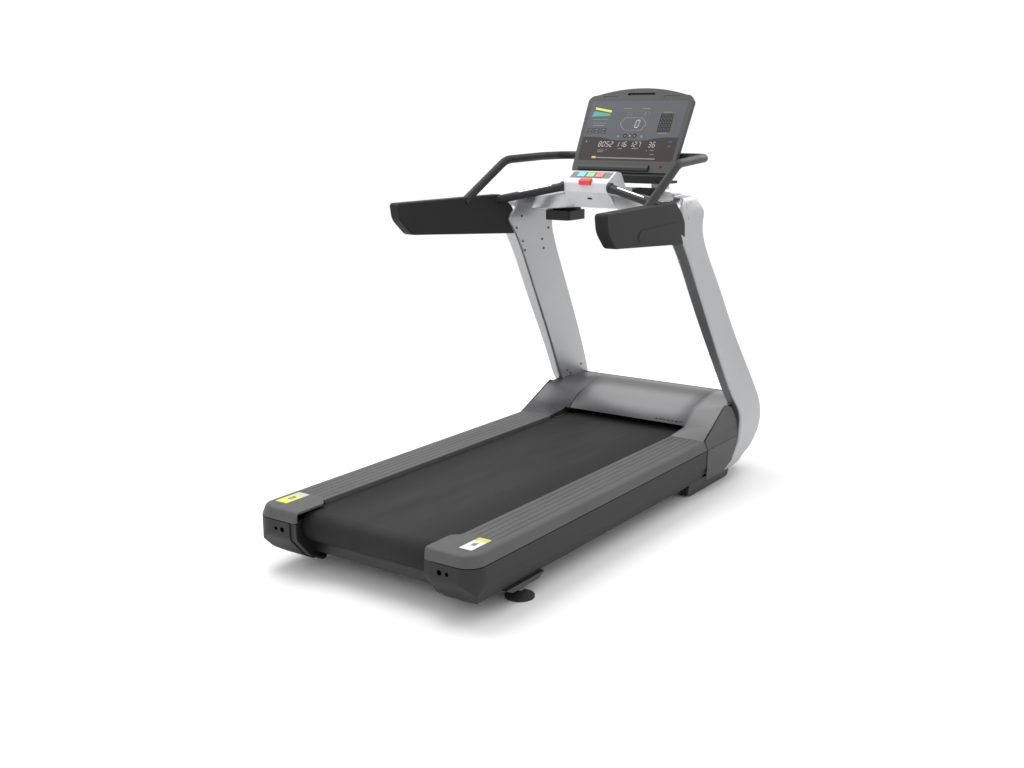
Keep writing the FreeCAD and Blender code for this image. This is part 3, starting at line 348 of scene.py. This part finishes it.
steel = turned_steel("turned_steel", (0.42, 0.42, 0.43), 0.34)
dress(steel, "rear_roller", "drive_roller", "roller_axles", "tension_bolts", "lift_screw", "motor_rotor")
motor_paint = moulded("motor_can", (0.03, 0.03, 0.032), 0.42, 500)
dress(motor_paint, "drive_motor")
fins = Finish("controller_aluminium", metallic=1.0)
extruded = fins.noise(30, 4, fins.moved(scale=(1, 20, 20)))
fins.colour(fins.blend(extruded, (0.36, 0.37, 0.38), (0.60, 0.61, 0.62)))
fins.roughness(0.3 + extruded * 0.2)
fins.bump(extruded, 0.00004)
dress(fins, "motor_controller")


# ---- levelling feet ----
# A rubber pad bonded under a steel cup, on a threaded zinc-plated stud with a nut.
foot = Finish("levelling_foot")
height = foot.axes()[2]
metal = foot.step(height, 0.0235, 0.0245)
speck = foot.noise(260, 3)
zinc = foot.blend(speck, (0.30, 0.30, 0.30), (0.52, 0.52, 0.50))
pad = foot.blend(speck, (0.010, 0.010, 0.010), (0.022, 0.022, 0.022))
foot.colour(foot.blend(metal, pad, zinc))
foot.feed(foot.shader.inputs["Metallic"], metal * 0.9)
foot.roughness(0.72 - metal * 0.38 + speck * 0.1)
thread = foot.add("TexWave", {"bands_direction": "Z"}, {"Vector": foot.place, "Scale": 250})
foot.bump(thread * metal + speck * 0.3, 0.0003)
dress(foot, *sides("rear_foot"))


# ---- hood ----
# The motor hood and its two shoulders are moulded and lacquered graphite. The lacquer holds
# fine aluminium flake. The bright band on the slope is a painted highlight in the colour, not lit,
# with painted shade towards the lip and the crest, and the right shoulder is painted lighter.
def lacquered(name, colour, rough, metallic, flake=900):
    """Lacquer with metal flake over moulded plastic or pressed steel."""
    finish = Finish(name, metallic=metallic, coat_roughness=0.25, specular_ior_level=0.5)
    flakes = finish.cells(flake)
    cloud = finish.noise(6, 3)
    mixed = flakes * 0.35 + cloud * 0.65
    finish.colour(finish.blend(mixed, tint(colour, 0.86), tint(colour, 1.12)))
    finish.roughness(rough - 0.03 + flakes * 0.05 + cloud * 0.05)
    finish.feed(finish.shader.inputs["Coat Weight"], 0.15)
    finish.bump(finish.noise(260, 2), 0.00004)
    return finish


hood_finish = lacquered("hood_graphite", (0.125, 0.125, 0.129), 0.40, 0.75)
across, along, height = hood_finish.axes()
# Painted highlight: a bright band across the slope, brightest in the middle, with painted shade towards the
# lip and the crest.
painted_highlight_height = hood_finish.step(height, 0.232, 0.285) * (1 - hood_finish.step(height, 0.300, 0.330))
middle = 1 - hood_finish.step(abs(across), 0.20, 0.275)
# Painted light: the right shoulder is made lighter than the left.
painted_light_right_shoulder = hood_finish.step(across, 0.275, 0.30)
flakes = hood_finish.cells(900)
band = painted_highlight_height * (0.35 + middle * 0.65) * (1 - painted_light_right_shoulder) + painted_light_right_shoulder * (0.45 + painted_highlight_height * 0.3)
band_painted_shade = (0.050, 0.050, 0.053)
band_painted_highlight = (0.300, 0.300, 0.306)
hood_finish.colour(hood_finish.blend(band + flakes * 0.12, band_painted_shade, band_painted_highlight))
dress(hood_finish, "hood_centre", *sides("hood_shoulder"))
# The vent slots are thin black plates laid on the hood: painted shade standing in for the dark inside of the
# openings.
vent_painted_shade = moulded("vent_painted_shade", (0.006, 0.006, 0.006), 0.6, 900, specular_ior_level=0.2)
vent_shade_plates = bmesh.new()
for index in range(7):
    x = 0.146 + index * 0.018
    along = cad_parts["hood_centre"].ray_cast(Vector((x, 0.655, 0.5)), Vector((0, 0, -1)))
    tilt = along[2].to_track_quat("Z", "Y").to_matrix().to_4x4()
    slot = round_plate(0.013, 0.005, 0.0007, 0.0024)
    put(slot, Matrix.Translation(along[1] - along[2] * 0.0003) @ tilt)
    shape = bpy.data.meshes.new("vent")
    slot.to_mesh(shape)
    vent_shade_plates.from_mesh(shape)
    bpy.data.meshes.remove(shape)
    slot.free()
add_piece("hood_vent_shade", vent_shade_plates, [vent_painted_shade])
panel_finish = moulded("front_panel_grey", (0.050, 0.050, 0.052), 0.5, 800, specular_ior_level=0.3)
dress(panel_finish, *sides("front_panel"))
cover_finish = moulded("front_cover_charcoal", (0.030, 0.030, 0.032), 0.5, 700)
dress(cover_finish, "front_cover")
entry_finish = moulded("power_entry_black", (0.012, 0.012, 0.012), 0.38, 1200)
dress(entry_finish, "power_entry", "power_switch")


# ---- uprights and crossbar ----
# Leaning columns of pressed steel, sprayed with silver metallic lacquer; the arms of the
# crossbar are cast and lacquered to match.
silver = lacquered("upright_silver", (0.37, 0.372, 0.38), 0.36, 0.85)
dress(silver, *sides("upright"))
arm_silver = lacquered("crossbar_silver", (0.50, 0.505, 0.515), 0.36, 0.7)
dress(arm_silver, *sides("crossbar_arm"), "console_posts")
screw_finish = turned_steel("black_oxide_screws", (0.10, 0.10, 0.105), 0.4)
dress(screw_finish, "upright_screws")


def surface_point(name, start, direction):
    """Where a ray meets a node of the frame: the point and the way its face looks."""
    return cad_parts[name].ray_cast(Vector(start), Vector(direction))[1:3]


def rounded(corners, radius, steps=5):
    """A closed outline with its corners rounded off."""
    points = []
    for index, corner in enumerate(corners):
        corner = Vector(corner)
        before = (Vector(corners[index - 1]) - corner).normalized()
        after = (Vector(corners[(index + 1) % len(corners)]) - corner).normalized()
        half = before.angle(after) / 2
        reach = radius / math.tan(half)
        middle = corner + (before + after).normalized() * (radius / math.sin(half))
        first = corner + before * reach - middle
        last = corner + after * reach - middle
        for step in range(steps + 1):
            points.append(middle + first.slerp(last, step / steps, first).normalized() * radius)
    return points


def draped_plate(name, outline, sign, thick):
    """A thin plate on a node's outer face; its outline, given as Y and Z, is laid on along X."""
    mesh = bmesh.new()
    rings = [[], []]
    for y, z in outline:
        point, normal = surface_point(name, (sign, y, z), (-sign, 0, 0))
        rings[0].append(mesh.verts.new(point - normal * 0.0004))
        rings[1].append(mesh.verts.new(point + normal * thick))
    for ring in rings:
        mesh.faces.new(ring)
    for index in range(len(outline)):
        mesh.faces.new([rings[0][index - 1], rings[0][index], rings[1][index], rings[1][index - 1]])
    bmesh.ops.recalc_face_normals(mesh, faces=mesh.faces)
    return mesh


bolt_cover = ((0.397, 1.085), (0.478, 1.097), (0.462, 1.155), (0.388, 1.142))
for side, sign in (("left", -1), ("right", 1)):
    plate = draped_plate("upright_" + side, rounded(bolt_cover, 0.011), sign, 0.0009)
    add_piece("bolt_cover_" + side, plate, [silver])


# ---- armrests, handlebar and grips ----
# The armrests and rails are skinned in black integral foam with a fine leather grain; a raised
# panel on the outer face of each armrest leaves a crease where the two levels meet.
foam = Finish("armrest_foam", specular_ior_level=0.2)
leather = foam.cells(650)
wrinkle = foam.noise(900, 3)
patchy = foam.noise(8, 3)
foam.colour(foam.blend(patchy * 0.6 + leather * 0.4, (0.010, 0.010, 0.0105), (0.021, 0.021, 0.022)))
foam.roughness(0.56 + patchy * 0.12)
foam.bump(leather + wrinkle * 0.5, 0.00012)
dress(foam, *sides("armrest"))
lower_panel = ((0.300, 1.088), (-0.045, 1.083), (-0.068, 1.058), (-0.050, 1.046), (0.300, 1.020))
for side, sign in (("left", -1), ("right", 1)):
    panel = draped_plate("armrest_" + side, rounded(lower_panel, 0.006), sign, 0.0016)
    add_piece("armrest_panel_" + side, panel, [foam])
rail_foam = Finish("grip_foam", specular_ior_level=0.3)
pores = rail_foam.noise(1100, 3)
polish = rail_foam.noise(12, 3)
rail_foam.colour(rail_foam.blend(polish, (0.012, 0.012, 0.012), (0.026, 0.026, 0.027)))
rail_foam.roughness(0.42 + polish * 0.2)
rail_foam.bump(pores, 0.0001)
dress(rail_foam, "handlebar", "pulse_grips")
chrome = Finish("contact_chrome", metallic=1.0)
breath = chrome.noise(30, 4)
chrome.colour(chrome.blend(breath, (0.60, 0.60, 0.61), (0.78, 0.78, 0.79)))
chrome.roughness(0.08 + breath * 0.12)
chrome.bump(breath, 0.00002)
dress(chrome, "pulse_contacts")


# ---- cup bins and console shells ----
# Plain black mouldings: the bins hang under the crossbar, and the console's shells are closed
# with a fine matt grain.
black_shell = moulded("black_shell", (0.014, 0.014, 0.015), 0.5, 800, specular_ior_level=0.3)
dress(black_shell, *sides("cup_holder"), "console_tray", "console_back")
bezel_finish = moulded("console_bezel_grey", (0.034, 0.034, 0.035), 0.45, 900, specular_ior_level=0.3)
dress(bezel_finish, "console_bezel")


# ---- control pod ----
# The pod is moulded in pale lacquered plastic. Its keys are silicone caps in three colours in a
# dark membrane panel, and the red paddle below them stops the belt.
pod_finish = moulded("pod_pale", (0.66, 0.665, 0.68), 0.32, 1200, 0.00002, coat_weight=0.2)
dress(pod_finish, "pod_housing")
panel_dark = moulded("key_panel_membrane", (0.17, 0.175, 0.18), 0.45, 1500)
dress(panel_dark, "key_panel")


def silicone(name, colour):
    """A soft moulded key cap, a little paler where fingers have rubbed it."""
    finish = Finish(name, coat_weight=0.2, coat_roughness=0.3)
    rub = finish.noise(60, 4)
    finish.colour(finish.blend(rub, tint(colour, 0.82), tint(colour, 1.12)))
    finish.roughness(0.34 + rub * 0.14)
    finish.bump(finish.noise(700, 2), 0.00004)
    return finish


dress(silicone("key_blue_cap", (0.16, 0.60, 0.72)), "key_fan")
dress(silicone("key_green_cap", (0.28, 0.66, 0.24)), "key_start")
dress(silicone("key_salmon_cap", (0.76, 0.20, 0.17)), "key_pause")
dress(silicone("stop_red_paddle", (0.74, 0.035, 0.04)), "stop_button")


# ---- display ----
# Tinted glass over a printed film: the upper field is blue-grey and the lower one brown-black,
# with a dip in the line between them. The readings are white segments behind the glass.
screen_lean = math.radians(-28)
screen_foot = (0, 0.577, 1.266)
glass = Finish("display_glass", coat_weight=0.0, specular_ior_level=0.12)
across, depth, up = glass.axes(glass.moved(location=screen_foot, rotation=(screen_lean, 0, 0)))
edge = glass.step(up - 0.129 + (1 - glass.step(abs(across), 0.05, 0.16)) * 0.015, -0.0015, 0.0015)
film = glass.noise(5, 3)
upper = glass.blend(film, (0.062, 0.067, 0.077), (0.086, 0.092, 0.103))
lower = glass.blend(film, (0.022, 0.017, 0.0155), (0.034, 0.027, 0.025))
glass.colour(glass.blend(edge, lower, upper))
glass.roughness(0.28 + film * 0.1)
glass.bump(glass.noise(12, 2), 0.00002)
dress(glass, "display_glass")


# ---- display print ----
# Readings, buttons and pictures are printed or lit just above the glass: four rows of seven-
# segment figures, a ringed speed figure, round buttons, a keypad, a sloping bar and a time bar.
screen = Matrix.Translation(screen_foot) @ Matrix.Rotation(screen_lean + math.radians(90), 4, "X")
segment_ends = {"a": (0, 2, 1, 2), "b": (1, 2, 1, 1), "c": (1, 1, 1, 0), "d": (0, 0, 1, 0),
                "e": (0, 1, 0, 0), "f": (0, 2, 0, 1), "g": (0, 1, 1, 1)}
segments_lit = {"0": "abcdef", "1": "bc", "2": "abged", "3": "abgcd", "5": "afgcd", "6": "afgedc",
                "7": "abc", "8": "abcdefg"}


def ink(name, colour, grain=500):
    """Screen print under a matt film: a fine dot pattern and slightly uneven cover."""
    finish = Finish(name, specular_ior_level=0.15)
    cover = finish.noise(grain, 3)
    dots = finish.cells(2400)
    finish.colour(finish.blend(cover * 0.7 + dots * 0.3, tint(colour, 0.75), tint(colour, 1.12)))
    finish.roughness(0.38 + cover * 0.14)
    finish.bump(dots, 0.00001)
    return finish


def flat_shape(mesh, corners, low=0.00005, high=0.0003, slot=0):
    """A thin printed shape: an outline in millimetres on the screen, given a little thickness."""
    rings = []
    for level in (low, high):
        rings.append([mesh.verts.new((x / 1000, y / 1000, level)) for x, y in corners])
    faces = [mesh.faces.new(ring) for ring in rings]
    for index in range(len(corners)):
        corner = [rings[0][index - 1], rings[0][index], rings[1][index], rings[1][index - 1]]
        faces.append(mesh.faces.new(corner))
    for face in faces:
        face.material_index = slot


def stroke(mesh, x0, y0, x1, y1, width, slot=0, level=0.0003):
    """A straight printed line with pointed ends."""
    along = Vector((x1 - x0, y1 - y0)).normalized()
    side = Vector((-along.y, along.x)) * width / 2
    start = Vector((x0, y0)) + along * width * 0.3
    end = Vector((x1, y1)) - along * width * 0.3
    tip = along * width / 2
    corners = [start, start + tip - side, end - tip - side, end, end - tip + side, start + tip + side]
    flat_shape(mesh, [tuple(c) for c in corners], high=level, slot=slot)


def figures(mesh, text, x, y, width, height, pitch, slot=0):
    """Slanted seven-segment figures from left to right, the first one centred at x, y."""
    for place, figure in enumerate(text):
        for letter in segments_lit[figure]:
            x0, y0, x1, y1 = segment_ends[letter]
            ends = []
            for across, rise in ((x0, y0), (x1, y1)):
                ends.append(x + place * pitch + (across - 0.5) * width + (rise - 1) * height * 0.07)
                ends.append(y + (rise - 1) * height / 2)
            stroke(mesh, *ends, width * 0.2, slot)


def disc(mesh, x, y, radius, slot=0, high=0.0003, corners=20):
    turn = [2 * math.pi * index / corners for index in range(corners)]
    rim = [(x + radius * math.cos(a), y + radius * math.sin(a)) for a in turn]
    flat_shape(mesh, rim, high=high, slot=slot)


def band(mesh, outer, share, x, y, slot=0):
    """A closed printed line round x, y: an outline and the same outline shrunk by `share`."""
    inner = [(x + (a - x) * share, y + (b - y) * share) for a, b in outer]
    for index in range(len(outer)):
        flat_shape(mesh, [outer[index - 1], outer[index], inner[index], inner[index - 1]], slot=slot)


def add_print(name, mesh, *finishes):
    bmesh.ops.recalc_face_normals(mesh, faces=mesh.faces)
    add_piece(name, put(mesh, screen), finishes)


lit_white = ink("lit_white", (0.52, 0.52, 0.52), 300)
pale_line = ink("pale_line", (0.22, 0.21, 0.20))
readings = bmesh.new()
for text, x in (("8052", -128), ("116", -47), ("127", 16), ("36", 99)):
    figures(readings, text, x, 97, 10.5, 21, 17.5)
for text, x in (("13", -37), ("87", 43)):
    figures(readings, text, x, 232, 7, 14, 14, 1)
figures(readings, "0", 17.6, 187, 15, 32, 20)
add_print("display_readings", readings, lit_white, pale_line)

lines = bmesh.new()
pill = rounded([(-64, 187), (-44, 215), (34, 215), (62, 187), (42, 158), (-36, 158)], 12)
band(lines, [tuple(p) for p in pill], 0.94, -1, 187)
for x, y, width in ((-44, 255.5, 36), (41, 255, 35), (-31, 78.5, 20), (36, 79.5, 30), (-118, 70, 30),
                    (-118, 63, 24), (-93, 72, 6), (114, 72, 18), (118, 54, 18), (91, 70, 5), (141, 238, 38),
                    (140, 145, 40)):
    flat_shape(lines, [(x - width / 2, y - 1.4), (x + width / 2, y - 1.4), (x + width / 2, y + 1.4),
                       (x - width / 2, y + 1.4)])
for x in (-54, 51):
    disc(lines, x, 131.5, 5)
disc(lines, -195, 108, 3.5)
disc(lines, -181, 108, 1.8)
add_print("display_lines", lines, pale_line)

soft_black = ink("soft_black", (0.012, 0.012, 0.014))
buttons = bmesh.new()
for x in (-23, -1.5, 20):
    disc(buttons, x, 134, 9.2)
    flat_shape(buttons, [(x - 3, 131), (x + 3, 131), (x + 3, 137), (x - 3, 137)], 0.0003, 0.0005, 1)
flat_shape(buttons, [(-6.5, 129), (3.5, 129), (3.5, 139), (-6.5, 139)], 0.0004, 0.0006, 1)
for row in range(5):
    for column in range(4):
        x = 120 + column * 14.4
        y = 160 + row * 16
        flat_shape(buttons, [(x - 6.4, y - 7.2), (x + 6.4, y - 7.2), (x + 6.4, y + 7.2), (x - 6.4, y + 7.2)])
        disc(buttons, x, y + 1, 1.7, 1, 0.0004, 8)
add_print("display_buttons", buttons, soft_black, pale_line)

boxes = bmesh.new()
for row in range(2):
    for column in range(3):
        x = -192 + column * 31
        y = 149 + row * 13
        flat_shape(boxes, [(x - 13, y - 5), (x + 13, y - 5), (x + 13, y + 5), (x - 13, y + 5)])
        flat_shape(boxes, [(x - 7, y - 1), (x + 7, y - 1), (x + 7, y + 1), (x - 7, y + 1)], 0.0003, 0.0004, 1)
add_print("display_boxes", boxes, ink("box_grey", (0.036, 0.038, 0.044)), pale_line)

graph = bmesh.new()
flat_shape(graph, [(-194, 261), (-192, 251), (-116, 237), (-114, 246)])
flat_shape(graph, [(-203, 219), (-196, 243), (-118, 232), (-119, 222)], slot=1)
for y, x0, x1, slot in ((206.5, -195, -122, 2), (190, -190, -122, 3), (180, -186, -132, 4)):
    flat_shape(graph, [(x0, y - 1.6), (x1, y - 1.6), (x1, y + 1.6), (x0, y + 1.6)], slot=slot)
add_print("display_graph", graph, ink("bar_yellow", (0.66, 0.64, 0.07)), ink("bar_teal", (0.07, 0.33, 0.29)),
          ink("line_salmon", (0.30, 0.13, 0.11)), ink("line_blue", (0.10, 0.17, 0.30)),
          ink("line_green", (0.12, 0.26, 0.15)))

time_bar = bmesh.new()
flat_shape(time_bar, [(-130, 35), (138, 33), (138, 38), (-130, 40)])
flat_shape(time_bar, [(-150, 34), (-131, 34), (-131, 43), (-150, 43)], slot=1)
flat_shape(time_bar, [(178, 107), (194, 107), (194, 114), (178, 114)], slot=2)
flat_shape(time_bar, [(178, 87), (192, 87), (192, 93), (178, 93)], slot=3)
add_print("display_time_bar", time_bar, pale_line, ink("mark_yellow", (0.55, 0.45, 0.10)),
          ink("mark_blue", (0.05, 0.06, 0.18)), ink("mark_red", (0.20, 0.03, 0.04)))


# ---- reading ledge ----
# A shallow lip along the foot of the bezel holds a book or tablet; it stops short on the right,
# where a red ring marks the headphone socket.
ledge = bmesh.new()
section = ((9, 0), (8, 5), (4, 8.5), (-8, 9), (-17, 6), (-21, 0))
ends = [[ledge.verts.new((x / 1000, up / 1000, out / 1000)) for up, out in section] for x in (-196, 121)]
ledge.faces.new(ends[0])
ledge.faces.new(ends[1])
for index in range(len(section)):
    ledge.faces.new([ends[0][index - 1], ends[0][index], ends[1][index], ends[1][index - 1]])
bmesh.ops.recalc_face_normals(ledge, faces=ledge.faces)
crease = [e for e in ledge.edges if e.calc_length() > 0.2 or min(v.co.x for v in e.verts) > 0.12]
bmesh.ops.bevel(ledge, geom=crease, offset=0.001, segments=2, profile=0.5, affect="EDGES", material=-1)
add_piece("reading_ledge", put(ledge, screen), [bezel_finish])
socket = bmesh.new()
ring = [(171 + 9 * math.cos(a), 3 + 9 * math.sin(a)) for a in [math.pi * i / 12 for i in range(24)]]
band(socket, ring, 0.72, 171, 3)
disc(socket, 171, 3, 5.5, 1)
bmesh.ops.recalc_face_normals(socket, faces=socket.faces)
ring_red = ink("ring_red", (0.20, 0.018, 0.022))
add_piece("headphone_ring", put(socket, screen), [ring_red, soft_black])

floor_mesh = bmesh.new()
bmesh.ops.create_grid(floor_mesh, x_segments=1, y_segments=1, size=30)
floor_data = bpy.data.meshes.new("floor")
floor_mesh.to_mesh(floor_data)
floor_mesh.free()
floor = bpy.data.objects.new("floor", floor_data)
bpy.context.scene.collection.objects.link(floor)
floor_finish = Finish("pale_floor", roughness=0.6, base_color=(0.95, 0.95, 0.95, 1))
floor_data.materials.append(floor_finish.material)
